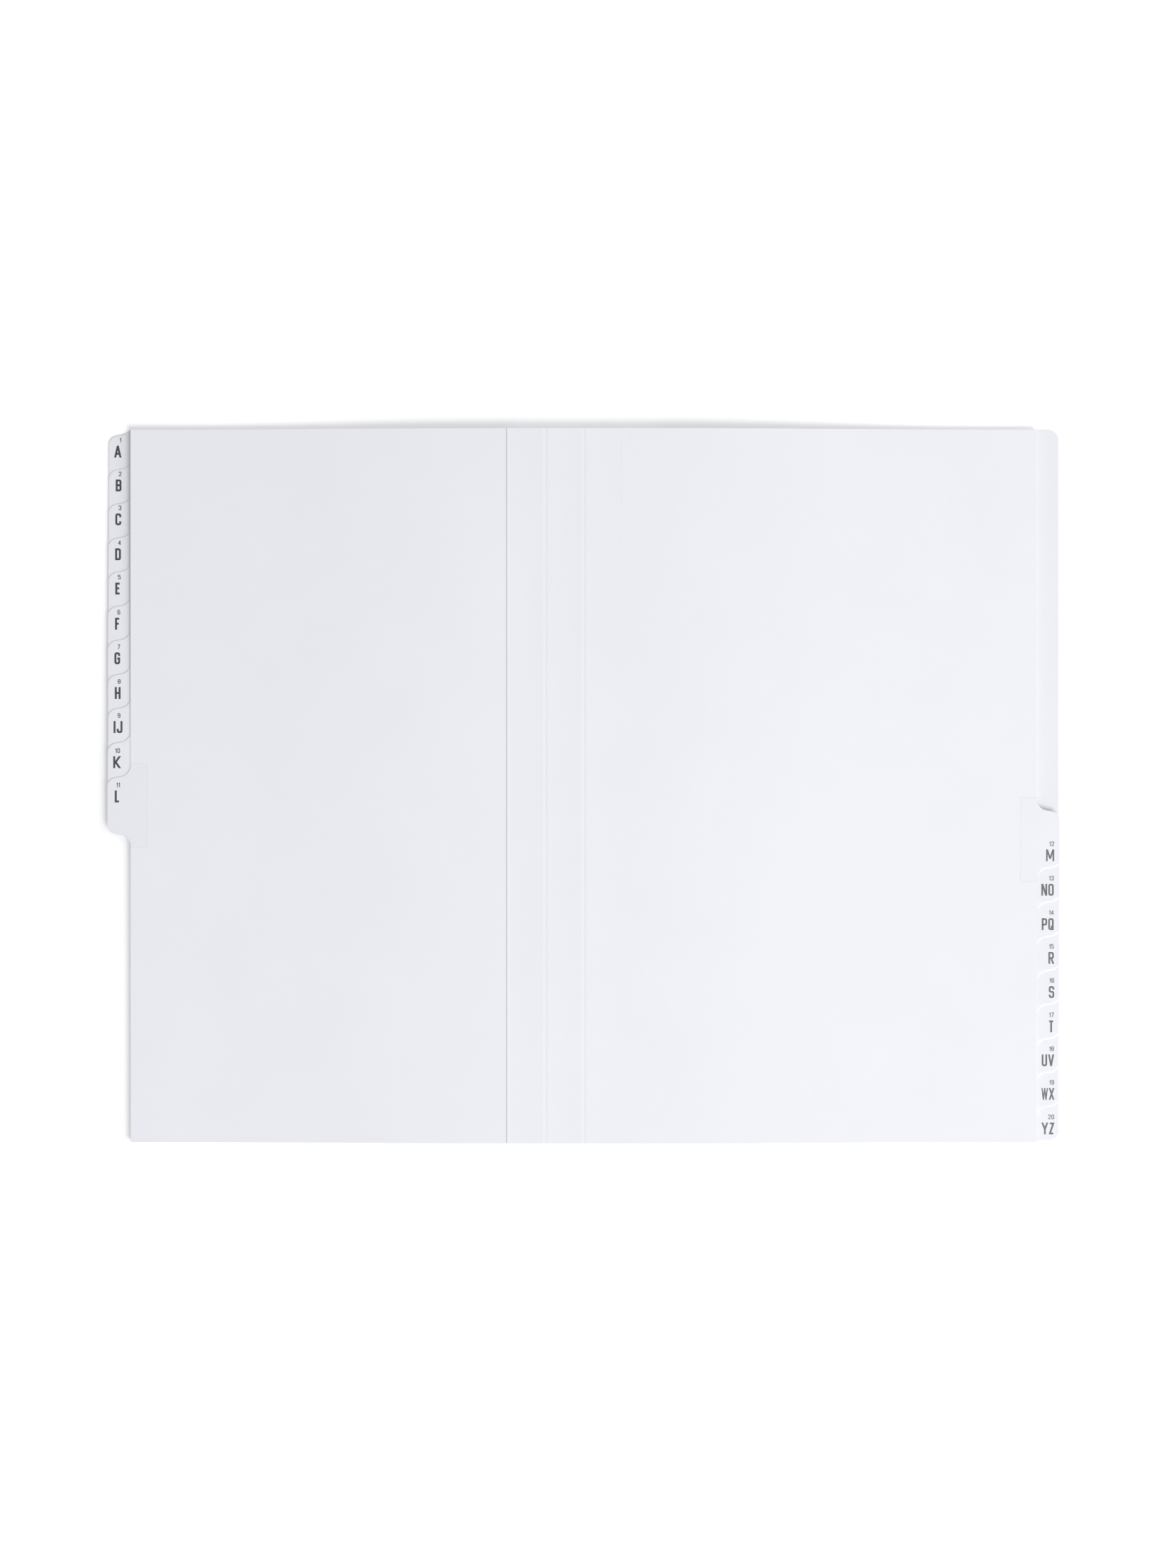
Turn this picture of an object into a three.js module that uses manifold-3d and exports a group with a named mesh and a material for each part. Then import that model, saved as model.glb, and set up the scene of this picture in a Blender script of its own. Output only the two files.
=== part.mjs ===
// Alphabetical desk sorter: a concertina file of white card, lying open between L and M.
//
// Twenty divider sheets lie between two covers. Each sheet is one piece of card: a body with an
// index tab on its fore-edge, and along its spine edge a gusset flap of two creased panels. The
// flap is glued to the back of the sheet before it, which binds the sorter. Left of the gutter
// the sheets lie back up, each folded over its own flap. Right of it they lie front up, with the
// flap folded over them. M spans the gutter: its flap lies on the back of L.
//
// Millimetres. X runs to the right from the gutter, Y to the head of the sheets, Z up from the
// desk. A distance called reach is measured from the gutter towards either fore-edge.
import * as THREE from 'three';
import { mergeVertices } from 'three/addons/utils/BufferGeometryUtils.js';
import Module from 'manifold-3d';

const wasm = await Module();
wasm.setup();

// Dividers in their order from the front cover, and the first one that lies on the right.
const dividers = ['a', 'b', 'c', 'd', 'e', 'f', 'g', 'h', 'ij', 'k',
  'l', 'm', 'no', 'pq', 'r', 's', 't', 'uv', 'wx', 'yz'];
const firstOnRight = dividers.indexOf('m');

// Sheets.
const sheetHeight = 340;
const bodyWidth = 216;
const leafCard = 0.3;
const coverCard = 0.6;
const coverCornerRadius = 4.5;

// Gusset flaps: two panels each, with a score pressed where they crease.
const gussetPanel = 18.25;
const scoreWidth = 1.2;
const scoreDepth = 0.12;
const spineClearance = 0.2;

// Index tabs, stepped evenly from the head to the foot.
const tabDepth = 11;
const tabHeight = 27.5;
const headToFirstTab = 2.5;
const tabOuterRadius = 4;
const tabInnerRadius = 5.5;
const shoulderLean = THREE.MathUtils.degToRad(10);

// Clear film folded round each tab.
const filmThickness = 0.04;
const filmWidth = 19;
const filmHeight = 40.6;

// Stacking. Two films lie between neighbouring leaves, and the doubled card at the spine makes
// the stack higher there. The sheets come down to the fore-edge in one S-bend.
const filmPlay = 0.04;
const settleRunUp = 2;
const settleLength = 82;
const settleSteps = 10;

// Facets of each rounded corner, and of each spine fold.
const cornerSteps = 4;
const foldSteps = 4;

// What the stack comes to.
const leafGap = 2 * filmThickness + filmPlay;
const gussetWidth = 2 * gussetPanel;
const tabReach = bodyWidth + tabDepth;
const tabPitch = (sheetHeight - headToFirstTab - tabHeight) / (dividers.length - 1);
const leavesLeft = firstOnRight;
const leavesRight = dividers.length - firstOnRight;

// Under the sheet that spans the gutter lie, on the left, a cover and the doubled leaves, and
// on the right the doubled back cover and the doubled leaves after the spanning one. The higher
// stack sets its height, and the spine folds of the other stand a little looser.
const leftCard = coverCard + 2 * leavesLeft * leafCard;
const rightCard = 2 * coverCard + 2 * (leavesRight - 1) * leafCard;
const leftGaps = 2 * leavesLeft + 1;
const rightGaps = 2 * leavesRight;
const gutterHeight = Math.max(leftCard + leftGaps * leafGap, rightCard + rightGaps * leafGap);
const leftSpineGap = (gutterHeight - leftCard) / leftGaps;
const rightSpineGap = (gutterHeight - rightCard) / rightGaps;

const leafMaterial = new THREE.MeshStandardMaterial({ color: 0xf3f1f4, roughness: 0.8, metalness: 0 });
const coverMaterial = new THREE.MeshStandardMaterial({ color: 0xefeef1, roughness: 0.75, metalness: 0 });
const filmMaterial = new THREE.MeshStandardMaterial({
  color: 0xffffff, roughness: 0.15, metalness: 0, transparent: true, opacity: 0.25,
});

// Height of the underside of a leaf at its fore-edge, counted from the cover below it.
function foreEdgeHeight(place) {
  return coverCard + leafGap + place * (leafCard + leafGap);
}

// Reaches at which every sheet changes slope, so that neighbours stay parallel.
const bendReaches = Array.from({ length: settleSteps + 1 }, (_, step) =>
  gussetWidth + settleRunUp + (step * settleLength) / settleSteps);

// Share of the way down from the spine to the fore-edge, in straight facets of a smooth bend.
function settledShare(reach) {
  const along = THREE.MathUtils.clamp((reach - bendReaches[0]) / settleLength, 0, 1) * settleSteps;
  const step = Math.min(Math.floor(along), settleSteps - 1);
  const before = THREE.MathUtils.smoothstep(step, 0, settleSteps);
  const after = THREE.MathUtils.smoothstep(step + 1, 0, settleSteps);
  return THREE.MathUtils.lerp(before, after, along - step);
}

// Points along a sheet from one reach to another, with the bends between them. The sheet goes
// from one height at the spine to another at the fore-edge.
function sheetLine(fromReach, toReach, spineHeight, foreHeight) {
  const bends = bendReaches.filter((reach) => reach > fromReach && reach < toReach);
  return [fromReach, ...bends, toReach].map((reach) =>
    new THREE.Vector2(reach, THREE.MathUtils.lerp(spineHeight, foreHeight, settledShare(reach))));
}

function lineThrough(shape, points) {
  for (const point of points) {
    shape.lineTo(point.x, point.y);
  }
}

// Section of a sheet that is folded back on its own flap. flapSide is 1 where the flap lies
// over the body and -1 where it lies under it. The score is on the face inside the fold.
function foldedSection({ card, gap, spineHeight, foreHeight, reach, flapSide }) {
  const over = flapSide > 0;
  const bodyInner = spineHeight + (over ? card : 0);
  const bodyOuter = spineHeight + (over ? 0 : card);
  const flapInner = bodyInner + flapSide * gap;
  const flapOuter = flapInner + flapSide * card;
  const outerRadius = card + gap / 2;
  const foldReach = spineClearance + outerRadius;
  const foldHeight = (bodyInner + flapInner) / 2;
  const quarter = Math.PI / 2;
  const score = flapInner + flapSide * scoreDepth;
  const shape = new THREE.Shape();
  shape.moveTo(gussetWidth, flapInner);
  shape.lineTo(gussetWidth, flapOuter);
  shape.lineTo(foldReach, flapOuter);
  shape.absarc(foldReach, foldHeight, outerRadius, flapSide * quarter, -flapSide * quarter, !over);
  const toForeEdge = sheetLine(foldReach, reach, bodyOuter, foreHeight + (bodyOuter - spineHeight));
  const fromForeEdge = sheetLine(foldReach, reach, bodyInner, foreHeight + (bodyInner - spineHeight));
  lineThrough(shape, toForeEdge);
  lineThrough(shape, fromForeEdge.reverse());
  shape.absarc(foldReach, foldHeight, gap / 2, -flapSide * quarter, flapSide * quarter, over);
  shape.lineTo(gussetPanel - scoreWidth / 2, flapInner);
  shape.lineTo(gussetPanel, score);
  shape.lineTo(gussetPanel + scoreWidth / 2, flapInner);
  shape.closePath();
  return shape;
}

// Section of the sheet that spans the gutter, scored on top at both creases of its gusset.
function spanningSection(foreHeight) {
  const top = gutterHeight + leafCard;
  const shape = new THREE.Shape();
  shape.moveTo(-gussetWidth, gutterHeight);
  shape.lineTo(-gussetWidth, top);
  for (const crease of [-gussetPanel, 0]) {
    shape.lineTo(crease - scoreWidth / 2, top);
    shape.lineTo(crease, top - scoreDepth);
    shape.lineTo(crease + scoreWidth / 2, top);
  }
  lineThrough(shape, sheetLine(scoreWidth, tabReach, top, foreHeight + leafCard));
  lineThrough(shape, sheetLine(scoreWidth, tabReach, gutterHeight, foreHeight).reverse());
  shape.closePath();
  return shape;
}

// Section of a flat board that lies on the desk.
function boardSection(reach) {
  const shape = new THREE.Shape();
  shape.moveTo(spineClearance, 0);
  shape.lineTo(reach, 0);
  shape.lineTo(reach, coverCard);
  shape.lineTo(spineClearance, coverCard);
  shape.closePath();
  return shape;
}

// Section of a film that is folded round the outer edge of a tab.
function filmSection(spineHeight, foreHeight) {
  const inner = tabReach - filmWidth;
  const under = sheetLine(inner, tabReach, spineHeight, foreHeight);
  const shape = new THREE.Shape();
  const shifted = (reachShift, heightShift) => (point) =>
    new THREE.Vector2(point.x + reachShift, point.y + heightShift);
  const last = under[under.length - 1];
  shape.moveTo(inner, under[0].y);
  lineThrough(shape, under.map(shifted(0, -filmThickness)));
  shape.lineTo(tabReach + filmThickness, last.y - filmThickness);
  shape.lineTo(tabReach + filmThickness, last.y + leafCard + filmThickness);
  lineThrough(shape, under.map(shifted(0, leafCard + filmThickness)).reverse());
  lineThrough(shape, under.map(shifted(0, leafCard)));
  lineThrough(shape, under.toReversed());
  shape.closePath();
  return shape;
}

// One side of a tab as an S-curve: out from the fore-edge in a hollow arc, along a leaning
// line, and round the tab's corner. end is 1 for the head side of the tab and -1 for the foot.
function shoulderArcs(middle, depth, end) {
  const sin = Math.sin(shoulderLean);
  const cos = Math.cos(shoulderLean);
  const hollowReach = bodyWidth + tabInnerRadius;
  const cornerReach = bodyWidth + depth - tabOuterRadius;
  const middleReach = bodyWidth + depth / 2;
  const hollowRise = (tabInnerRadius - (hollowReach - middleReach) * sin) / cos;
  const cornerRise = (-tabOuterRadius - (cornerReach - middleReach) * sin) / cos;
  return {
    hollow: [hollowReach, middle + end * hollowRise, tabInnerRadius],
    corner: [cornerReach, middle + end * cornerRise, tabOuterRadius],
  };
}

// Outline of a divider seen from above, with its tab between two heights on the page. It runs
// past the head and foot, where the sheet's own length cuts it off.
function dividerOutline(tabTop, depth) {
  const pastEdge = sheetHeight / 2 + 2 * tabInnerRadius;
  const pastSpine = -gussetWidth - 1;
  const head = shoulderArcs(tabTop, depth, 1);
  const foot = shoulderArcs(tabTop - tabHeight, depth, -1);
  const quarter = Math.PI / 2;
  const shape = new THREE.Shape();
  shape.moveTo(pastSpine, -pastEdge);
  shape.lineTo(bodyWidth, -pastEdge);
  shape.absarc(...foot.hollow, Math.PI, quarter + shoulderLean, true);
  shape.absarc(...foot.corner, -quarter + shoulderLean, 0, false);
  shape.absarc(...head.corner, 0, quarter - shoulderLean, false);
  shape.absarc(...head.hollow, -quarter - shoulderLean, -Math.PI, true);
  shape.lineTo(bodyWidth, pastEdge);
  shape.lineTo(pastSpine, pastEdge);
  shape.closePath();
  return shape;
}

// Outline of the back cover: a full-height strip lies under the tabs, with rounded corners.
function backCoverOutline() {
  const edge = sheetHeight / 2;
  const cornerReach = tabReach - coverCornerRadius;
  const cornerHeight = edge - coverCornerRadius;
  const shape = new THREE.Shape();
  shape.moveTo(0, -edge);
  shape.lineTo(cornerReach, -edge);
  shape.absarc(cornerReach, -cornerHeight, coverCornerRadius, -Math.PI / 2, 0, false);
  shape.absarc(cornerReach, cornerHeight, coverCornerRadius, 0, Math.PI / 2, false);
  shape.lineTo(0, edge);
  shape.closePath();
  return shape;
}

// A section extruded along the page from one height to another, on the left or the right.
function alongPage(section, side, fromY, toY) {
  const geometry = new THREE.ExtrudeGeometry(section, {
    depth: toY - fromY, bevelEnabled: false, curveSegments: foldSteps,
  });
  geometry.rotateX(Math.PI / 2);
  geometry.translate(0, toY, 0);
  return side < 0 ? mirrored(geometry) : geometry;
}

// An outline extruded up through the whole stack, on the left or the right.
function throughStack(outline, side) {
  const margin = 1;
  const geometry = new THREE.ExtrudeGeometry(outline, {
    depth: gutterHeight + leafCard + 2 * margin, bevelEnabled: false, curveSegments: cornerSteps,
  });
  geometry.translate(0, 0, -margin);
  return side < 0 ? mirrored(geometry) : geometry;
}

// The mirror image across the gutter, with its faces turned out again.
function mirrored(geometry) {
  const position = geometry.attributes.position;
  for (let corner = 0; corner < position.count; corner += 3) {
    const [a, b, c] = [0, 1, 2].map((k) => new THREE.Vector3().fromBufferAttribute(position, corner + k));
    position.setXYZ(corner, -a.x, a.y, a.z);
    position.setXYZ(corner + 1, -c.x, c.y, c.z);
    position.setXYZ(corner + 2, -b.x, b.y, b.z);
  }
  return geometry;
}

function toSolid(geometry) {
  const bare = geometry.clone();
  bare.deleteAttribute('normal');
  bare.deleteAttribute('uv');
  const merged = mergeVertices(bare, 1e-5);
  return new wasm.Manifold(new wasm.Mesh({
    numProp: 3,
    vertProperties: new Float32Array(merged.attributes.position.array),
    triVerts: new Uint32Array(merged.index.array),
  }));
}

function toGeometry(solid) {
  const mesh = solid.getMesh();
  const geometry = new THREE.BufferGeometry();
  geometry.setAttribute('position', new THREE.BufferAttribute(new Float32Array(mesh.vertProperties), 3));
  geometry.setIndex(new THREE.BufferAttribute(new Uint32Array(mesh.triVerts), 1));
  const flat = geometry.toNonIndexed();
  flat.computeVertexNormals();
  return flat;
}

// A piece is its section along the page, cut to its outline.
function cutSheet(name, material, section, outline, side, fromY, toY) {
  const solid = toSolid(alongPage(section, side, fromY, toY)).intersect(toSolid(throughStack(outline, side)));
  const mesh = new THREE.Mesh(toGeometry(solid), material);
  mesh.name = name;
  return mesh;
}

const head = sheetHeight / 2;
const foot = -sheetHeight / 2;

// A divider and the film on its tab. The film ends at the head or foot of the sheet where the
// tab is close to it.
function divider(index) {
  const name = dividers[index];
  const onLeft = index < firstOnRight;
  const side = onLeft ? -1 : 1;
  const gap = onLeft ? leftSpineGap : rightSpineGap;
  const place = onLeft ? index : dividers.length - 1 - index;
  const pair = 2 * (leafCard + gap);
  const firstBody = onLeft ? coverCard + leafCard + 2 * gap : 2 * (coverCard + gap);
  const spineHeight = firstBody + place * pair;
  const foreHeight = foreEdgeHeight(place);
  const section = index === firstOnRight
    ? spanningSection(foreHeight)
    : foldedSection({ card: leafCard, gap, spineHeight, foreHeight, reach: tabReach, flapSide: side });
  const tabTop = head - headToFirstTab - index * tabPitch;
  const filmHead = Math.min(head, tabTop - tabHeight / 2 + filmHeight / 2);
  const filmFoot = Math.max(foot, tabTop - tabHeight / 2 - filmHeight / 2);
  const outline = dividerOutline(tabTop, tabDepth);
  const filmOutline = dividerOutline(tabTop, tabDepth + filmThickness);
  return [
    cutSheet(`leaf_${name}`, leafMaterial, section, outline, side, foot, head),
    cutSheet(`tab_film_${name}`, filmMaterial, filmSection(spineHeight, foreHeight),
      filmOutline, side, filmFoot, filmHead),
  ];
}

function frontCover() {
  const mesh = new THREE.Mesh(alongPage(boardSection(bodyWidth), -1, foot, head), coverMaterial);
  mesh.name = 'front_cover';
  return mesh;
}

function backCover() {
  const section = foldedSection({
    card: coverCard, gap: rightSpineGap, spineHeight: 0, foreHeight: 0, reach: tabReach, flapSide: 1,
  });
  return cutSheet('back_cover', coverMaterial, section, backCoverOutline(), 1, foot, head);
}

const frontHalf = new THREE.Group();
frontHalf.add(frontCover());
const backHalf = new THREE.Group();
backHalf.add(backCover());
dividers.forEach((_, index) => {
  const half = index < firstOnRight ? frontHalf : backHalf;
  half.add(...divider(index));
});

const sorter = new THREE.Group();
sorter.add(frontHalf, backHalf);

export default sorter;
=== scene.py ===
# Alphabetical desk sorter of white card, lying open between its L and M dividers.
# Metres, +X to the right from the gutter, +Y to the head of the sheets, +Z up from the desk.
import math
import random

import bmesh
import bpy
from mathutils import Matrix, Vector


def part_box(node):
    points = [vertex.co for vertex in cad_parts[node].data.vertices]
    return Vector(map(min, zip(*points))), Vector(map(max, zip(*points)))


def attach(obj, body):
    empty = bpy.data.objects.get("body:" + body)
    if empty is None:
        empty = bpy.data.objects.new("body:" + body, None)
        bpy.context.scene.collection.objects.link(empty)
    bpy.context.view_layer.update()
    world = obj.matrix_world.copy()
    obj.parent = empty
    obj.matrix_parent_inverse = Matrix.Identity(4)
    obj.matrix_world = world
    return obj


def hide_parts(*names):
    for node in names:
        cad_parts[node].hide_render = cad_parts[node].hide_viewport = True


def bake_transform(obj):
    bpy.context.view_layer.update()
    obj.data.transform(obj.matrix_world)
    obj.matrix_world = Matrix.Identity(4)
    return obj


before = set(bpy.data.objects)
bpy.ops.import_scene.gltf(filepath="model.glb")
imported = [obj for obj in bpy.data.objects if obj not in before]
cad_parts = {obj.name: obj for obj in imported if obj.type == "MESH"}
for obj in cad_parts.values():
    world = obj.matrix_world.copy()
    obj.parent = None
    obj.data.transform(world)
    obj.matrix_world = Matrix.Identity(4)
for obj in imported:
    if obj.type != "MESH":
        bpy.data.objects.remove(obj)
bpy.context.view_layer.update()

# The camera looks straight down on the open sorter from 1.5 m. The gutter lies a little left of
# the middle of the picture, and the picture is taller than the sorter is wide.
mm = 0.001
picture_width_px = 1659
picture_height_px = 2212
gutter_px = 823.5
mid_height_px = 1108.4
mm_per_px = 0.3379
camera_height = 1500 * mm
page_level = 5.5 * mm
sensor_height = 24
picture_height = picture_height_px * mm_per_px * mm
camera_data = bpy.data.cameras.new("camera")
camera = bpy.data.objects.new("camera", camera_data)
bpy.context.collection.objects.link(camera)
bpy.context.scene.camera = camera
camera.location = (
    (picture_width_px / 2 - gutter_px) * mm_per_px * mm,
    (mid_height_px - picture_height_px / 2) * mm_per_px * mm,
    camera_height,
)
camera_data.sensor_fit = "VERTICAL"
camera_data.sensor_height = sensor_height
camera_data.lens = sensor_height * (camera_height - page_level) / picture_height
camera_data.clip_end = 20
bpy.context.scene.view_settings.view_transform = "Standard"

# The desk is a plain white sheet that runs out of the picture. Camera rays, and rays that
# mirror or pass through film, see it a little brighter than the light makes it, so that it
# stays white and keeps the sorter's shadow.
desk_radius = 6
desk_level = -0.05 * mm
bpy.ops.object.select_all(action="DESELECT")
bpy.ops.mesh.primitive_circle_add(
    vertices=64, radius=desk_radius, fill_type="NGON", location=(0, 0, desk_level))
desk = bpy.context.object
desk.name = "desk"
desk_paint = bpy.data.materials.new("desk white")
desk_paint.use_nodes = True
nodes = desk_paint.node_tree.nodes
links = desk_paint.node_tree.links
nodes.clear()
desk_output = nodes.new("ShaderNodeOutputMaterial")
desk_diffuse = nodes.new("ShaderNodeBsdfDiffuse")
desk_diffuse.inputs["Color"].default_value = (0.93, 0.93, 0.94, 1)
desk_glow = nodes.new("ShaderNodeEmission")
desk_glow.inputs["Strength"].default_value = 0.19
desk_sum = nodes.new("ShaderNodeAddShader")
desk_choice = nodes.new("ShaderNodeMixShader")
light_path = nodes.new("ShaderNodeLightPath")
links.new(desk_diffuse.outputs[0], desk_sum.inputs[0])
links.new(desk_glow.outputs[0], desk_sum.inputs[1])
seen = light_path.outputs["Is Camera Ray"]
for ray in ("Is Glossy Ray", "Is Transmission Ray"):
    either = nodes.new("ShaderNodeMath")
    either.operation = "MAXIMUM"
    links.new(seen, either.inputs[0])
    links.new(light_path.outputs[ray], either.inputs[1])
    seen = either.outputs[0]
links.new(seen, desk_choice.inputs[0])
links.new(desk_diffuse.outputs[0], desk_choice.inputs[1])
links.new(desk_sum.outputs[0], desk_choice.inputs[2])
links.new(desk_choice.outputs[0], desk_output.inputs["Surface"])
desk.data.materials.append(desk_paint)

# One large soft lamp stands on the right, in front of the sorter, so that sheet edges throw short
# shadows up and to the left. A near wall on the right sends back light that fades to the left,
# and the rest comes evenly from a white room.
for name, place, size, power in (
    ("window light", (0.95, -1.2, 2.58), 1.35, 42.5),
    ("wall light", (1.3, 0.1, 1.3), 1.2, 7),
):
    lamp_data = bpy.data.lights.new(name, "AREA")
    lamp_data.shape = "DISK"
    lamp_data.size = size
    lamp_data.energy = power
    lamp = bpy.data.objects.new(name, lamp_data)
    bpy.context.collection.objects.link(lamp)
    lamp.location = place
    lamp.rotation_euler = (-Vector(place)).to_track_quat("-Z", "Y").to_euler()
room = bpy.data.worlds.new("white room")
bpy.context.scene.world = room
room.use_nodes = True
walls = room.node_tree.nodes["Background"]
walls.inputs["Color"].default_value = (0.985, 0.99, 1.0, 1)
walls.inputs["Strength"].default_value = 0.49

# The back cover is the lowest sheet on the right: stout white board with rounded corners on its
# fore-edge, folded over at the spine so that its gusset flap is glued to the back of YZ.
# It shows as a strip under the tabs. The tools that shape a sheet of card start here.
sheet_height = 340 * mm
half_height = sheet_height / 2
cover_card = 0.6 * mm
leaf_card = 0.3 * mm
gusset_width = 36.5 * mm
gusset_panel = 18.25 * mm
spine_clearance = 0.2 * mm
settle_start = 38.5 * mm
settle_length = 150 * mm
tab_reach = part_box("back_cover")[1].x
body_width = -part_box("front_cover")[0].x
cover_corner = 4.5 * mm
left_gap = (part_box("leaf_a")[1].z - cover_card - 2 * leaf_card) / 2
right_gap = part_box("back_cover")[1].z - 2 * cover_card
page_cut = 14 * mm
bend_cut = 6 * mm
tab_zone = 22 * mm
zone_column = 3.2 * mm
zone_row = 4.2 * mm
rim_width = 0.6 * mm
arris_width = 0.06 * mm
same_place = 0.01 * mm
slip_along = 0.6
dice = random.Random(11)

# The stack swells by a share of its height. The tabs' lifts are in millimetres, and are largest
# near the middle of the sheets, where the two rows of tabs meet.
swell = 0.022
ripple = 0.008
lift_span = 32 * mm
right_lift = 0.08
right_corner_lift = 0.32
right_corner = -10 * mm
right_corner_spread = 15 * mm
left_lift = 0.05
left_corner_lift = 0.1
left_corner = -9 * mm
left_corner_spread = 25 * mm


def smooth(share):
    """Eases a share in from 0 and out to 1, and holds it there past them."""
    share = min(max(share, 0), 1)
    return share * share * (3 - 2 * share)


def card_paint(name, colour, roughness):
    """Uncoated white board: cloudy tone, short fibres, and a fine tooth that breaks up the sheen."""
    paint = bpy.data.materials.new(name)
    paint.use_nodes = True
    tree = paint.node_tree
    surface = tree.nodes["Principled BSDF"]
    surface.inputs["Roughness"].default_value = roughness
    surface.inputs["Specular IOR Level"].default_value = 0.35
    place = tree.nodes.new("ShaderNodeTexCoord")
    cloud = tree.nodes.new("ShaderNodeTexNoise")
    cloud.inputs["Scale"].default_value = 28
    cloud.inputs["Detail"].default_value = 5
    tree.links.new(place.outputs["Object"], cloud.inputs["Vector"])
    tone = tree.nodes.new("ShaderNodeValToRGB")
    tone.color_ramp.elements[0].position = 0.3
    tone.color_ramp.elements[0].color = (*[0.985 * part for part in colour], 1)
    tone.color_ramp.elements[1].position = 0.7
    tone.color_ramp.elements[1].color = (*colour, 1)
    tree.links.new(cloud.outputs["Fac"], tone.inputs["Fac"])
    stretch = tree.nodes.new("ShaderNodeMapping")
    stretch.inputs["Scale"].default_value = (0.25, 1, 1)
    tree.links.new(place.outputs["Object"], stretch.inputs["Vector"])
    fibre = tree.nodes.new("ShaderNodeTexNoise")
    fibre.inputs["Scale"].default_value = 2600
    fibre.inputs["Detail"].default_value = 3
    tree.links.new(stretch.outputs["Vector"], fibre.inputs["Vector"])
    speck = tree.nodes.new("ShaderNodeMix")
    speck.data_type = "RGBA"
    speck.blend_type = "MULTIPLY"
    speck.inputs["Factor"].default_value = 0.04
    # Sockets 6 and 7 of this node take its two colours, and its output 2 is the mixed one.
    tree.links.new(tone.outputs["Color"], speck.inputs[6])
    tree.links.new(fibre.outputs["Fac"], speck.inputs[7])
    tree.links.new(speck.outputs[2], surface.inputs["Base Color"])
    tooth = tree.nodes.new("ShaderNodeBump")
    tooth.inputs["Strength"].default_value = 0.12
    tooth.inputs["Distance"].default_value = 0.02 * mm
    tree.links.new(fibre.outputs["Fac"], tooth.inputs["Height"])
    tree.links.new(tooth.outputs["Normal"], surface.inputs["Normal"])
    return paint


def pick(test):
    """Selects the vertices of the mesh in edit mode that pass a test on their place."""
    mesh = bmesh.from_edit_mesh(bpy.context.object.data)
    for vert in mesh.verts:
        vert.select = test(vert.co)
    mesh.select_flush_mode()
    bmesh.update_edit_mesh(bpy.context.object.data)


def cut(place, normal, trim=False):
    """Cuts the mesh in edit mode along a plane, and with trim drops what lies past it."""
    bpy.ops.mesh.select_all(action="SELECT")
    bpy.ops.mesh.bisect(plane_co=place, plane_no=normal, clear_outer=trim)


def flat_card(name, low_x, high_x, low_y, high_y):
    """A flat sheet of one face, left open in edit mode."""
    bpy.ops.object.select_all(action="DESELECT")
    bpy.ops.mesh.primitive_plane_add(size=1)
    card = bpy.context.object
    card.name = name
    card.data.name = name
    bpy.ops.object.mode_set(mode="EDIT")
    bpy.ops.mesh.select_mode(type="VERT")
    bpy.ops.transform.resize(value=(high_x - low_x, high_y - low_y, 1))
    bpy.ops.transform.translate(value=((low_x + high_x) / 2, (low_y + high_y) / 2, 0))
    return card


def cut_bends(far):
    """Rows of cuts where a sheet bends down from the spine, and wider ones over the page."""
    reach = settle_start
    while reach < far - bend_cut:
        cut((reach, 0, 0), (1, 0, 0))
        reach += bend_cut if reach < settle_start + settle_length else page_cut
    row = -half_height + page_cut
    while row < half_height - page_cut / 2:
        cut((0, row, 0), (0, 1, 0))
        row += page_cut


def far_edge(height):
    """How far the mesh in edit mode reaches to the right at a height."""
    mesh = bmesh.from_edit_mesh(bpy.context.object.data)
    return max(vert.co.x for vert in mesh.verts if abs(vert.co.z - height) < same_place)


def fold_over(card, gap, flap_side):
    """Turns the spine edge over on itself and runs the gusset flap out from it."""
    radius = (card + gap) / 2
    spine = spine_clearance + card + gap / 2
    flap_height = flap_side * 2 * radius
    pick(lambda place: abs(place.x - spine) < same_place)
    bpy.ops.mesh.spin(
        steps=8, angle=-flap_side * math.pi, axis=(0, 1, 0), center=(spine, 0, flap_side * radius))
    for reach in (gusset_panel, gusset_width):
        edge = far_edge(flap_height)
        pick(lambda place: abs(place.z - flap_height) < same_place and place.x > edge - same_place)
        bpy.ops.mesh.extrude_region_move(TRANSFORM_OT_translate={"value": (reach - edge, 0, 0)})


def stack_wave(x, y):
    """Share by which the stack swells here: card never lies quite flat, least of all at its edges."""
    reach = abs(x) / tab_reach
    roll = 0.5 + 0.5 * math.sin(x * 19 + 0.8) * math.cos(y * 11 - 0.5)
    return swell * roll * smooth(reach * 3) + ripple * smooth(reach) * math.cos(y * 23 + x * 9)


def tab_lift(x, y, order):
    """The free tabs spring up a little, the top one of the right-hand stack most of all."""
    edge = smooth((abs(x) - body_width + tab_zone) / lift_span)
    if x > 0:
        corner = math.exp(-((y - right_corner) / right_corner_spread) ** 2)
        return edge * order * order * (right_lift + right_corner_lift * corner) * mm
    corner = math.exp(-((y - left_corner) / left_corner_spread) ** 2)
    return edge * order * (left_lift + left_corner_lift * corner) * mm


def level(x, y, spine_height, fore_height, order):
    """Height of the middle of a sheet's thickness over the desk."""
    settled = smooth((abs(x) - settle_start) / settle_length)
    height = spine_height + (fore_height - spine_height) * settled
    return height * (1 + order * stack_wave(x, y)) + tab_lift(x, y, order)


def cut_tab_zone(middle):
    """Close rows of cuts over a tab and the page behind it, alike in the sheet and its film."""
    for step in range(1, 7):
        cut((tab_reach - step * zone_column, 0, 0), (1, 0, 0))
    for step in range(-5, 6):
        cut((0, middle + step * zone_row, 0), (0, 1, 0))


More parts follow.
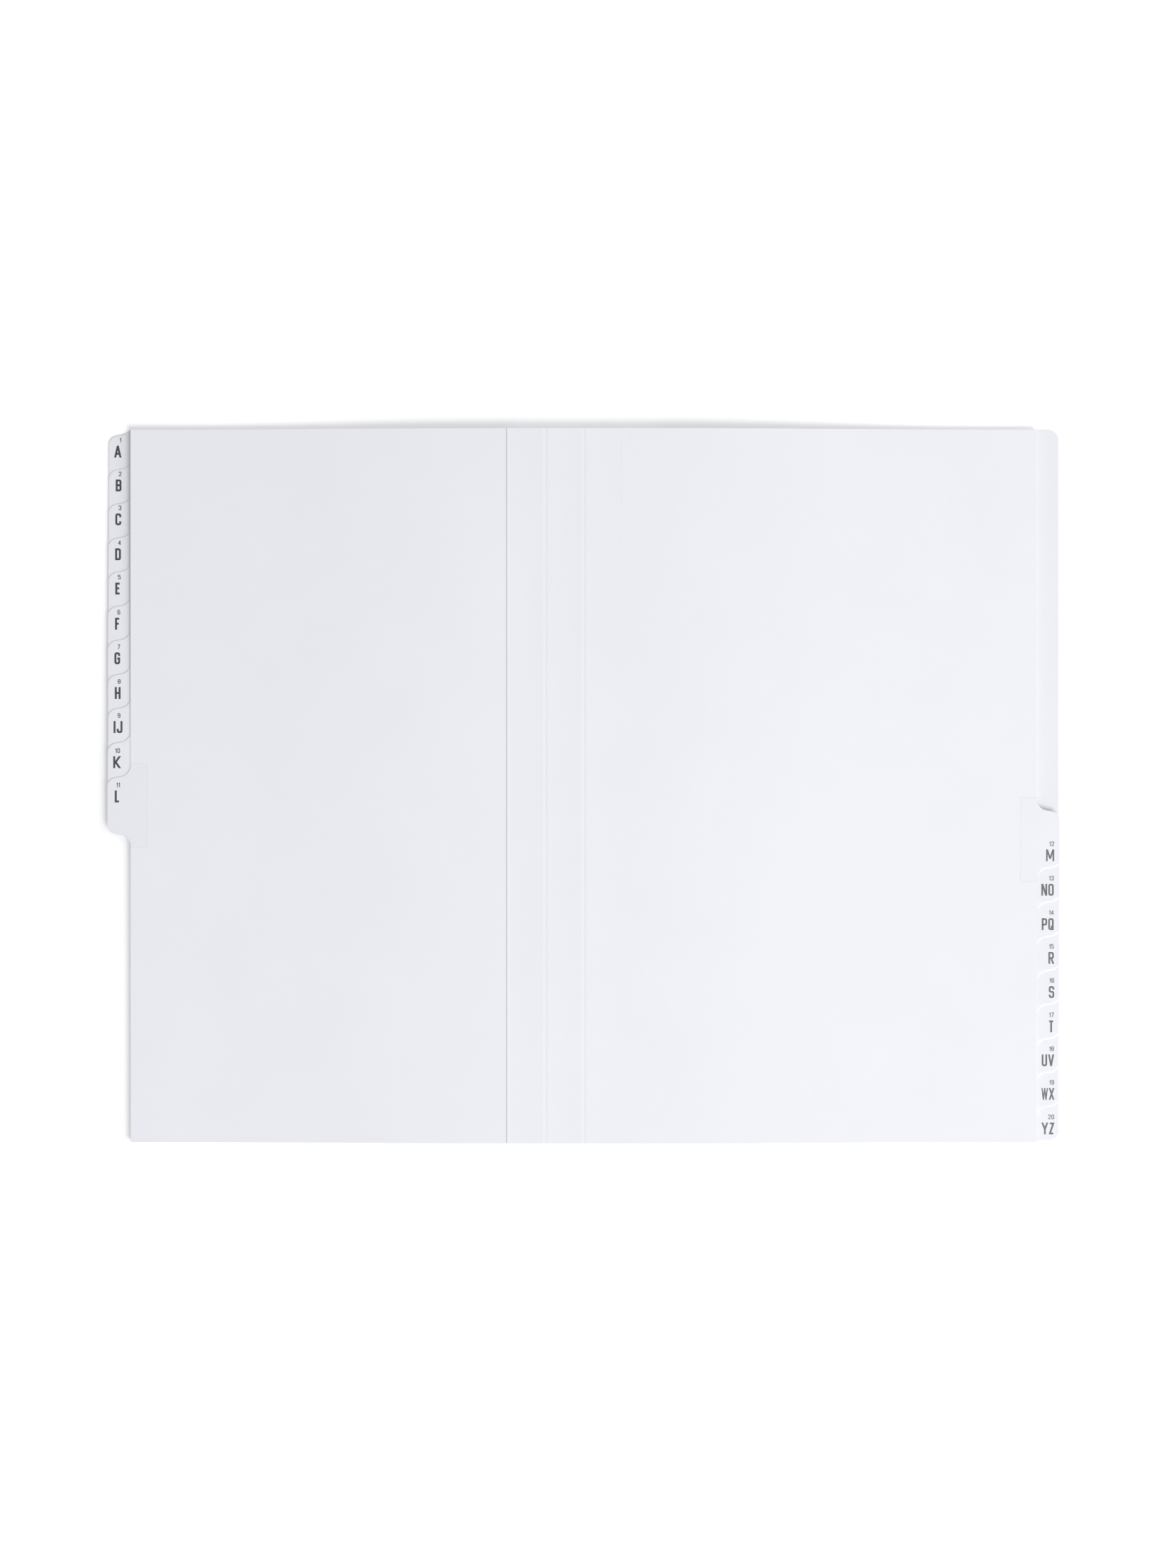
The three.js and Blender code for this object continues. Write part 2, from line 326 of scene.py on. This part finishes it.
def roll_shoulders(drop, width):
    """The die draws the rims of a tab's shoulders down a little, where they catch the light."""
    steepness = 6
    pick(lambda place: place.x > body_width - tab_zone)
    bpy.ops.mesh.inset(thickness=width, use_boundary=True, use_even_offset=True)
    mesh = bmesh.from_edit_mesh(bpy.context.object.data)
    for vert in mesh.verts:
        along = (vert.co.x - body_width) / (tab_reach - body_width)
        if vert.is_boundary and along > 0:
            vert.co.z -= drop * smooth(along * steepness) * smooth((1 - along) * steepness)
    bmesh.update_edit_mesh(bpy.context.object.data)


def finish_card(card, side, spine_height, fore_height, order, thickness, slip, paint):
    """Lays a flat sheet into its place in the stack and gives it its thickness."""
    bpy.ops.object.mode_set(mode="OBJECT")
    slide, turn = slip
    for vert in card.data.vertices:
        reach, y, offset = vert.co
        share = smooth(reach / body_width)
        x = side * reach + share * slide + share * turn * y
        y += share * slide * slip_along - side * share * turn * reach
        y = min(max(y, -half_height), half_height)
        vert.co = (x, y, level(x, y, spine_height, fore_height, order) + offset)
    bpy.ops.object.mode_set(mode="EDIT")
    bpy.ops.mesh.select_all(action="SELECT")
    bpy.ops.mesh.normals_make_consistent(inside=False)
    bpy.ops.object.mode_set(mode="OBJECT")
    wall = card.modifiers.new("card", "SOLIDIFY")
    wall.thickness = thickness
    wall.offset = 0
    wall.use_even_offset = True
    bpy.ops.object.modifier_apply(modifier=wall.name)
    arris = card.modifiers.new("cut edge", "BEVEL")
    arris.width = arris_width
    arris.segments = 1
    arris.limit_method = "ANGLE"
    arris.angle_limit = math.radians(60)
    bpy.ops.object.modifier_apply(modifier=arris.name)
    bpy.ops.object.shade_smooth_by_angle(angle=math.radians(35))
    if not card.data.materials:
        card.data.materials.append(paint)


board_white = card_paint("board white", (0.828, 0.837, 0.88), 0.7)
cover_spine = spine_clearance + cover_card + right_gap / 2
back_cover = flat_card("back_cover_board", cover_spine, tab_reach, -half_height, half_height)
pick(lambda place: place.x > tab_reach - same_place)
bpy.ops.mesh.bevel(offset=cover_corner, segments=10, affect="VERTICES")
cut_bends(tab_reach)
fold_over(cover_card, right_gap, 1)
finish_card(back_cover, 1, cover_card / 2, cover_card / 2, 0, cover_card, (0, 0), board_white)
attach(back_cover, "back_half")
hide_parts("back_cover")

# The front cover is a plain board under the left stack, as wide as a leaf without its tab. None
# of it shows from above, so the solid keeps its own shape and takes the board's finish.
front_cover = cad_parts["front_cover"]
front_cover.data.materials.clear()
front_cover.data.materials.append(board_white)

# The dividers are single sheets of index board, die-cut with a tab on the fore-edge. At the spine
# each is folded over its own gusset flap. They lie one on another, tabs stepping down, and each
# has slipped and turned a little within its free play, here in millimetres and radians.
dividers = ["a", "b", "c", "d", "e", "f", "g", "h", "ij", "k",
            "l", "m", "no", "pq", "r", "s", "t", "uv", "wx", "yz"]
first_on_right = dividers.index("m")
tab_depth = tab_reach - body_width
tab_height = 27.5 * mm
head_to_first_tab = 2.5 * mm
tab_pitch = (sheet_height - head_to_first_tab - tab_height) / (len(dividers) - 1)
tab_corner = 4 * mm
tab_hollow = 5.5 * mm
shoulder_lean = math.radians(10)
left_roll = 0.05 * mm
right_roll = 0.16 * mm
blank_half = half_height + 12 * mm
free_play = 0.12
free_turn = 0.0003
leaf_white = card_paint("leaf white", (0.855, 0.865, 0.908), 0.72)


def tab_middle(index):
    """Where the middle of a divider's tab lies along its fore-edge."""
    return half_height - head_to_first_tab - tab_height / 2 - index * tab_pitch


def cut_tab(index, depth):
    """Draws the tab out of the fore-edge and rounds its four corners into an S at each shoulder."""
    middle = tab_middle(index)
    lean = tab_depth / 2 * math.tan(shoulder_lean)
    base = tab_height / 2 + lean
    turn = math.tan((math.pi / 2 - shoulder_lean) / 2)
    for row in (middle - base, middle + base):
        cut((0, row, 0), (0, 1, 0))
    pick(lambda place: place.x > body_width - same_place
         and abs(place.y - middle) < base + same_place)
    bpy.ops.mesh.extrude_region_move(TRANSFORM_OT_translate={"value": (depth, 0, 0)})
    bpy.ops.transform.resize(
        value=(1, (base - 2 * lean) / base, 1), center_override=(body_width + depth, middle, 0))
    bpy.ops.mesh.select_all(action="SELECT")
    bpy.ops.mesh.dissolve_limited(angle_limit=math.radians(1))
    pick(lambda place: place.x > body_width + same_place)
    bpy.ops.mesh.bevel(offset=tab_corner * turn, segments=8, affect="VERTICES")
    pick(lambda place: abs(place.x - body_width) < same_place
         and abs(abs(place.y - middle) - base) < same_place)
    bpy.ops.mesh.bevel(offset=tab_hollow * turn, segments=8, affect="VERTICES")
    cut((0, half_height, 0), (0, 1, 0), trim=True)
    cut((0, -half_height, 0), (0, -1, 0), trim=True)


def stack_place(index):
    """Spine and fore-edge heights of a leaf's middle, and its order in the stack, 1 for the top.

    On the left a leaf's flap lies below it and M's lies beyond the gutter. On the right a flap is
    the highest part of its sheet, above the leaf by the gap and its own card."""
    low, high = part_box(f"leaf_{dividers[index]}")
    fore_height = low.z + leaf_card / 2
    if index < first_on_right:
        return high.z - leaf_card / 2, fore_height, (index + 1) / first_on_right
    order = (len(dividers) - index) / (len(dividers) - first_on_right)
    if index == first_on_right:
        return high.z - leaf_card / 2, fore_height, order
    return high.z - leaf_card * 1.5 - right_gap, fore_height, order


slips = []
for _ in dividers:
    slips.append((dice.uniform(-free_play, free_play) * mm, dice.uniform(-free_turn, free_turn)))
slips[first_on_right] = (0, 0)
for index, letter in enumerate(dividers):
    if index == first_on_right:
        continue
    on_left = index < first_on_right
    side = -1 if on_left else 1
    gap = left_gap if on_left else right_gap
    spine = spine_clearance + leaf_card + gap / 2
    leaf = flat_card(f"divider_{letter}", spine, body_width, -blank_half, blank_half)
    cut_tab(index, tab_depth)
    cut_bends(body_width)
    cut_tab_zone(tab_middle(index))
    fold_over(leaf_card, gap, side)
    roll_shoulders(left_roll if on_left else right_roll, rim_width)
    spine_height, fore_height, order = stack_place(index)
    finish_card(leaf, side, spine_height, fore_height, order, leaf_card, slips[index], leaf_white)
    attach(leaf, "front_half" if on_left else "back_half")
    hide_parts(f"leaf_{letter}")

# M is the divider at which the sorter lies open. Its sheet spans the gutter: two scored gusset
# panels lie on the back of L, the spine score runs down the gutter, and its tab springs up.
# A score is a sunk line between two low swellings. The crease of the flap that is glued under the
# page shows near the head as a faint ridge, and M's own flap lifts a little at its edge.
score_half = 0.9 * mm
score_dip = 0.09 * mm
score_bulge = 0.45
flap_lip = 0.12 * mm
lip_width = 2 * mm
ridge_reach = 18.6 * mm
ridge_height = 0.05 * mm
ridge_half = 0.7 * mm
ridge_start = 60 * mm
ridge_ease = 110 * mm
divider_m = flat_card("divider_m", -gusset_width, body_width, -blank_half, blank_half)
cut_tab(first_on_right, tab_depth)
cut_bends(body_width)
cut_tab_zone(tab_middle(first_on_right))
for crease in (-gusset_panel, 0, ridge_reach):
    for step in range(-6, 7):
        cut((crease + step * score_half / 3, 0, 0), (1, 0, 0))
for step in range(1, 5):
    cut((-gusset_width + step * lip_width / 4, 0, 0), (1, 0, 0))
mesh = bmesh.from_edit_mesh(divider_m.data)
for vert in mesh.verts:
    x, y, _ = vert.co
    for crease in (-gusset_panel, 0):
        away = abs(x - crease) / score_half
        bulge = score_bulge * math.exp(-((away - 1.4) / 0.5) ** 2)
        vert.co.z -= score_dip * (max(0, 1 - away) - bulge)
    near_head = smooth((y - ridge_start) / ridge_ease)
    vert.co.z += ridge_height * near_head * math.exp(-((x - ridge_reach) / ridge_half) ** 2)
    vert.co.z += flap_lip * smooth(1 - (x + gusset_width) / lip_width)
bmesh.update_edit_mesh(divider_m.data)
roll_shoulders(right_roll, rim_width)
spine_height, fore_height, order = stack_place(first_on_right)
finish_card(divider_m, 1, spine_height, fore_height, order, leaf_card, (0, 0), leaf_white)
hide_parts("leaf_m")
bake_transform(divider_m)

# A clear film is folded round the outer edge of each tab and bonded to both of its faces. It
# reaches in over the page, and its square edges show as a faint frame round the tab.
film_width = 19 * mm
film_height = 40.6 * mm
film_blank = 40 * mm
film_skin = 0.025 * mm
film_stand = 0.032 * mm
film_rim = 0.5 * mm
left_film_roll = 0.04 * mm
right_film_roll = 0.14 * mm


def film_paint(name, colour, alpha):
    """Thin glossy film, rippled by the glue under it."""
    paint = bpy.data.materials.new(name)
    paint.use_nodes = True
    tree = paint.node_tree
    surface = tree.nodes["Principled BSDF"]
    surface.inputs["Base Color"].default_value = colour
    surface.inputs["Roughness"].default_value = 0.18
    surface.inputs["Alpha"].default_value = alpha
    place = tree.nodes.new("ShaderNodeTexCoord")
    ripple = tree.nodes.new("ShaderNodeTexNoise")
    ripple.inputs["Scale"].default_value = 120
    bump = tree.nodes.new("ShaderNodeBump")
    bump.inputs["Strength"].default_value = 0.25
    bump.inputs["Distance"].default_value = 0.05 * mm
    tree.links.new(place.outputs["Object"], ripple.inputs["Vector"])
    tree.links.new(ripple.outputs["Fac"], bump.inputs["Height"])
    tree.links.new(bump.outputs["Normal"], surface.inputs["Normal"])
    return paint


film_clear = film_paint("clear film", (0.88, 0.89, 0.92, 1), 0.03)
film_edge = film_paint("cut film edge", (0.7, 0.71, 0.74, 1), 0.05)
# Near-opaque white film paint: a painted highlight on the lamp-facing shoulders of the right-hand
# tabs.
film_painted_highlight = film_paint("film edge painted highlight", (1, 1, 1, 1), 0.8)
film_paints = (film_clear, film_edge, film_painted_highlight)
skin_level = leaf_card / 2 + film_stand + film_skin / 2
for index, letter in enumerate(dividers):
    on_left = index < first_on_right
    side = -1 if on_left else 1
    middle = tab_middle(index)
    film = flat_card(
        f"clear_tab_{letter}", body_width - film_blank, body_width, -blank_half, blank_half)
    cut_tab(index, tab_depth + film_skin / 2)
    cut((tab_reach - film_width, 0, 0), (-1, 0, 0), trim=True)
    cut((0, min(half_height, middle + film_height / 2), 0), (0, 1, 0), trim=True)
    cut((0, max(-half_height, middle - film_height / 2), 0), (0, -1, 0), trim=True)
    cut_tab_zone(middle)
    roll_shoulders(left_film_roll if on_left else right_film_roll, film_rim)
    for paint in film_paints:
        film.data.materials.append(paint)
    # The shoulders' inset leaves the inner faces selected, so the others are the film's rim. On the
    #     # right-hand tabs this rim takes a painted highlight in near-opaque white, standing in for
    #     the
    #     # film's edge catching the lamp. The other rims take the grey of the cut film edge.
    mesh = bmesh.from_edit_mesh(film.data)
    for face in mesh.faces:
        reach = face.calc_center_median().x
        if not face.select and reach < tab_reach - film_rim:
            takes_painted_highlight = reach > body_width and not on_left
            face.material_index = film_paints.index(film_painted_highlight if takes_painted_highlight else film_edge)
    bmesh.update_edit_mesh(film.data)
    bpy.ops.mesh.select_all(action="SELECT")
    bpy.ops.transform.translate(value=(0, 0, skin_level))
    bpy.ops.mesh.duplicate_move(TRANSFORM_OT_translate={"value": (0, 0, -2 * skin_level)})
    pick(lambda place: place.x > tab_reach and abs(place.y - middle) < tab_height / 2)
    bpy.ops.mesh.bridge_edge_loops()
    spine_height, fore_height, order = stack_place(index)
    finish_card(film, side, spine_height, fore_height, order, film_skin, slips[index], film_clear)
    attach(film, "front_half" if on_left else "back_half")
    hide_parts(f"tab_film_{letter}")

# Each tab is printed under its film with its letters and a small running number, in condensed
# capitals. The print is near the tab's head on the back of the sheet, and near its foot on the
# front. A glyph is drawn as strokes on a unit square: a star rounds a corner, o closes a stroke.
# Some glyphs are wider or lighter than the rest, by the shares that follow the strokes.
glyph_strokes = {
    "A": ["0,0 .46,1", ".54,1 1,0", ".17,.28 .83,.28"],
    "B": ["0,.52 1,.52* 1,1* 0,1 0,0 1,0* 1,.52* .5,.52"],
    "C": ["1,.7 1,1* 0,1* 0,0* 1,0* 1,.3"],
    "D": ["0,0 0,1 1,1* 1,0* o"],
    "E": ["1,1 0,1 0,0 1,0", "0,.52 .85,.52"],
    "F": ["1,1 0,1 0,0", "0,.5 .85,.5"],
    "G": ["1,.72 1,1* 0,1* 0,0* 1,0* 1,.48 .5,.48"],
    "H": ["0,0 0,1", "1,0 1,1", "0,.5 1,.5"],
    "I": ["0,0 0,1"],
    "J": ["1,1 1,0* 0,0* 0,.32"],
    "K": ["0,0 0,1", "0,.3 1,1", ".3,.5 1,0"],
    "L": ["0,1 0,0 1,0"],
    "M": ["0,0 0,1", "1,0 1,1", ".07,1 .5,.16", ".93,1 .5,.16"],
    "N": ["0,0 0,1", ".12,1 .88,0", "1,0 1,1"],
    "O": ["0,0* 0,1* 1,1* 1,0* o"],
    "P": ["0,0 0,1 1,1* 1,.45* 0,.45"],
    "Q": ["0,0* 0,1* 1,1* 1,0* o", ".5,.3 1.1,-.08"],
    "R": ["0,0 0,1 1,1* 1,.48* 0,.48", ".5,.48 1,0"],
    "S": ["1,.74 1,1* 0,1* 0,.52* 1,.52* 1,0* 0,0* 0,.26"],
    "T": ["-.05,1 1.05,1", ".5,1 .5,0"],
    "U": ["0,1 0,0* 1,0* 1,1"],
    "V": ["0,1 .48,0", "1,1 .52,0"],
    "W": ["0,1 .25,0", ".5,1 .25,0", ".5,1 .75,0", "1,1 .75,0"],
    "X": ["0,0 1,1", "0,1 1,0"],
    "Y": ["0,1 .5,.42", "1,1 .5,.42", ".5,.46 .5,0"],
    "Z": ["0,1 1,1 0,0 1,0"],
    "0": ["0,0* 0,1* 1,1* 1,0* o"],
    "1": ["1,1 1,0", "1,.94 0,.74"],
    "2": ["0,.72 0,1* 1,1* 1,.55 0,0 1,0"],
    "3": ["0,.78 0,1* 1,1* 1,.52* .4,.52", ".4,.52 1,.52* 1,0* 0,0* 0,.22"],
    "4": [".75,0 .75,1", ".7,1 0,.28 1.1,.28"],
    "5": ["1,1 0,1 0,.58 1,.58* 1,0* 0,0* 0,.2"],
    "6": ["1,.8 1,1* 0,1* 0,0* 1,0* 1,.55* 0,.55"],
    "7": ["0,1 1,1 .35,0"],
    "8": ["0,0* 0,1* 1,1* 1,0* o", "0,.52 1,.52"],
    "9": ["0,.2 0,0* 1,0* 1,1* 0,1* 0,.45* 1,.45"],
}
glyph_widths = {"A": 1.3, "C": 1.05, "E": 0.9, "F": 0.85, "I": 0, "K": 1.3, "L": 0.85, "M": 1.75,
                "N": 1.12, "V": 1.08, "W": 1.42, "X": 0.95, "Y": 1.2, "Z": 0.92, "1": 0.4}
glyph_weights = {"M": 0.9, "W": 0.7, "X": 0.9}
ink_depth = 0.026 * mm
arc_steps = 6
mitre_limit = 0.3
same_point = 0.001 * mm


def stroke_path(words, wide, tall, bend):
    """The middle line of one stroke: its corner points, with short arcs at the starred ones."""
    closed = words.endswith("o")
    marks = words.replace("o", "").split()
    points = []
    for mark in marks:
        x, y = mark.rstrip("*").split(",")
        points.append((Vector((float(x) * wide, float(y) * tall)), mark.endswith("*")))
    path = []
    for place, (point, rounded) in enumerate(points):
        if not rounded:
            path.append(point)
            continue
        before = (points[place - 1][0] - point).normalized()
        after = (points[(place + 1) % len(points)][0] - point).normalized()
        middle = point + (before + after) * bend
        for step in range(arc_steps + 1):
            turn = step / arc_steps * math.pi / 2
            path.append(middle - after * bend * math.cos(turn) - before * bend * math.sin(turn))
    return path, closed


def stroke_mesh(words, wide, tall, thick, bend):
    """A stroke as a thin closed slab of one width, mitred at its corners.

    An end that meets the foot or the head runs past it, to be cut level with it later."""
    path, closed = stroke_path(words, wide, tall, bend)
    if not closed:
        for end, inner in ((0, 1), (-1, -2)):
            at_line = min(abs(path[end].y), abs(path[end].y - tall)) < same_point
            if at_line and abs(path[end].y - path[inner].y) > same_point:
                path[end] = path[end] + (path[end] - path[inner]).normalized() * thick
    count = len(path)
    left = []
    right = []
    for place, point in enumerate(path):
        into = point - path[place - 1] if place or closed else None
        out = path[(place + 1) % count] - point if place < count - 1 or closed else None
        into = (into if into is not None else out).normalized()
        out = (out if out is not None else into).normalized()
        beside_into = Vector((-into.y, into.x))
        across = (beside_into + Vector((-out.y, out.x))).normalized()
        reach = min(thick / 2 / max(across.dot(beside_into), mitre_limit), thick)
        left.append(point + across * reach)
        right.append(point - across * reach)
    mesh = bmesh.new()
    rails = []
    for rail in (left, right):
        for z in (0, ink_depth):
            rails.append([mesh.verts.new((point.x, point.y, z)) for point in rail])
    left_low, left_high, right_low, right_high = rails
    for here in range(count if closed else count - 1):
        there = (here + 1) % count
        mesh.faces.new((left_high[here], left_high[there], right_high[there], right_high[here]))
        mesh.faces.new((left_low[here], right_low[here], right_low[there], left_low[there]))
        mesh.faces.new((left_low[here], left_low[there], left_high[there], left_high[here]))
        mesh.faces.new((right_low[here], right_high[here], right_high[there], right_low[there]))
    if not closed:
        for end in (0, -1):
            mesh.faces.new((left_low[end], left_high[end], right_high[end], right_low[end]))
    bmesh.ops.recalc_face_normals(mesh, faces=mesh.faces)
    return mesh


def draw_glyph(sign, wide, tall, thick, bend):
    """One character as a closed slab: its strokes are joined and their ends cut level.

    Q is left uncut, because its tail ends below the line."""
    span = (wide - thick) * glyph_widths.get(sign, 1)
    thick *= glyph_weights.get(sign, 1)
    parts = []
    for words in glyph_strokes[sign]:
        data = bpy.data.meshes.new(f"stroke {sign}")
        mesh = stroke_mesh(words, span, tall - thick, thick, bend)
        mesh.to_mesh(data)
        mesh.free()
        part = bpy.data.objects.new(f"stroke {sign}", data)
        bpy.context.collection.objects.link(part)
        parts.append(part)
    bpy.ops.object.select_all(action="DESELECT")
    glyph = parts[0]
    bpy.context.view_layer.objects.active = glyph
    glyph.select_set(True)
    for part in parts[1:]:
        union = glyph.modifiers.new("join", "BOOLEAN")
        union.operation = "UNION"
        union.use_self = True
        union.object = part
        bpy.ops.object.modifier_apply(modifier=union.name)
        bpy.data.objects.remove(part)
    bpy.ops.object.mode_set(mode="EDIT")
    if sign != "Q":
        for row, way in ((-thick / 2, -1), (tall - thick / 2, 1)):
            bpy.ops.mesh.select_all(action="SELECT")
            bpy.ops.mesh.bisect(
                plane_co=(0, row, 0), plane_no=(0, way, 0), clear_outer=True, use_fill=True)
    bpy.ops.object.mode_set(mode="OBJECT")
    data = glyph.data.copy()
    data.transform(Matrix.Translation((thick / 2, thick / 2, 0)))
    bpy.data.objects.remove(glyph)
    return data, span + thick


letter_style = {"wide": 2.75 * mm, "tall": 5.7 * mm, "thick": 0.96 * mm, "bend": 0.6 * mm}
light_style = {"wide": 2.6 * mm, "tall": 5.65 * mm, "thick": 0.84 * mm, "bend": 0.6 * mm}
number_style = {"wide": 1.3 * mm, "tall": 2.2 * mm, "thick": 0.36 * mm, "bend": 0.28 * mm}
letter_gap = 0.2
alphabet = "ABCDEFGHIJKLMNOPQRSTUVWXYZ"
letters = {sign: draw_glyph(sign, **letter_style) for sign in alphabet}
light_letters = {sign: draw_glyph(sign, **light_style) for sign in alphabet}
numbers = {sign: draw_glyph(sign, **number_style) for sign in "0123456789"}

# Lines of print end at these places across the tab, and keep these distances from its head on
# the back and from its foot on the front. From tab to tab they creep up on the backs, from IJ to
# C, and outwards on the fronts. The creep and the play of the print are in millimetres.
back_right = -(body_width + 5.1 * mm)
back_left = -(tab_reach - 2.6 * mm)
front_right = tab_reach - 2.7 * mm
back_drop = {"number": 2.85 * mm, "letter": 6.6 * mm}
front_rise = {"number": 10.65 * mm, "letter": 3.4 * mm}
back_creep = 0.25
back_creep_start = dividers.index("k")
back_creep_steps = 7
front_creep = 0.07
play_across = 0.1
play_along = 0.15


def ink_paint(name, tone):
    """Offset ink sunk into the board: matt, with the board's mottle just showing through."""
    paint = bpy.data.materials.new(name)
    paint.use_nodes = True
    tree = paint.node_tree
    surface = tree.nodes["Principled BSDF"]
    surface.inputs["Roughness"].default_value = 0.55
    place = tree.nodes.new("ShaderNodeTexCoord")
    mottle = tree.nodes.new("ShaderNodeTexNoise")
    mottle.inputs["Scale"].default_value = 1800
    tree.links.new(place.outputs["Object"], mottle.inputs["Vector"])
    ramp = tree.nodes.new("ShaderNodeValToRGB")
    ramp.color_ramp.elements[0].color = (tone * 0.85, tone * 0.85, tone * 0.88, 1)
    ramp.color_ramp.elements[1].color = (tone * 1.3, tone * 1.3, tone * 1.34, 1)
    tree.links.new(mottle.outputs["Fac"], ramp.inputs["Fac"])
    tree.links.new(ramp.outputs["Color"], surface.inputs["Base Color"])
    return paint


dark_ink = ink_paint("dark ink", 0.012)
grey_ink = ink_paint("grey ink", 0.1)


def line_width(glyphs, words, style):
    """The width of a line of characters with the gaps between them."""
    return sum(glyphs[sign][1] for sign in words) + style["wide"] * letter_gap * (len(words) - 1)


def set_line(mesh, glyphs, words, style, right, base):
    """Sets one line of characters, right-aligned, with its foot on a base line."""
    step = style["wide"] * letter_gap
    pen = right
    for sign in reversed(words):
        data, advance = glyphs[sign]
        before = len(mesh.verts)
        mesh.from_mesh(data)
        mesh.verts.ensure_lookup_table()
        pen -= advance
        for vert in mesh.verts[before:]:
            vert.co += Vector((pen, base, 0))
        pen -= step


for index, letter in enumerate(dividers):
    on_left = index < first_on_right
    side = -1 if on_left else 1
    middle = tab_middle(index)
    head = middle + tab_height / 2
    foot = middle - tab_height / 2
    spine_height, fore_height, order = stack_place(index)
    slide, turn = slips[index]
    for face, ink in (("back", dark_ink), ("front", grey_ink)):
        across = dice.uniform(-play_across, play_across) * mm
        along = dice.uniform(-play_along, play_along) * mm
        mesh = bmesh.new()
        if face == "back":
            creep = min(max(back_creep_start - index, 0), back_creep_steps) * back_creep * mm
            glyphs = letters
            style = letter_style
            right = back_right + across
            words_right = max(right, back_left + line_width(glyphs, letter.upper(), style))
            number_row = head + creep - back_drop["number"] - number_style["tall"]
            letter_row = head + creep - back_drop["letter"] - style["tall"]
        else:
            creep = (index - first_on_right) * front_creep * mm
            glyphs = light_letters
            style = light_style
            right = front_right + creep + across
            words_right = right
            number_row = foot + front_rise["number"]
            letter_row = foot + front_rise["letter"]
        set_line(mesh, numbers, str(index + 1), number_style, right, number_row + along)
        set_line(mesh, glyphs, letter.upper(), style, words_right, letter_row + along)
        facing_up = (face == "back") == on_left
        for vert in mesh.verts:
            x, y, depth = vert.co
            if not facing_up:
                x = -x
            y = y - side * turn * abs(x) + slide * slip_along
            x = x + slide + turn * y
            stand = leaf_card / 2 + depth
            height = level(x, y, spine_height, fore_height, order)
            vert.co = (x, y, height + (stand if facing_up else -stand))
        bmesh.ops.triangulate(mesh, faces=mesh.faces)
        bmesh.ops.recalc_face_normals(mesh, faces=mesh.faces)
        data = bpy.data.meshes.new(f"print_{face}_{letter}")
        mesh.to_mesh(data)
        mesh.free()
        data.materials.append(ink)
        printed = bpy.data.objects.new(f"print_{face}_{letter}", data)
        bpy.context.collection.objects.link(printed)
        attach(printed, "front_half" if on_left else "back_half")
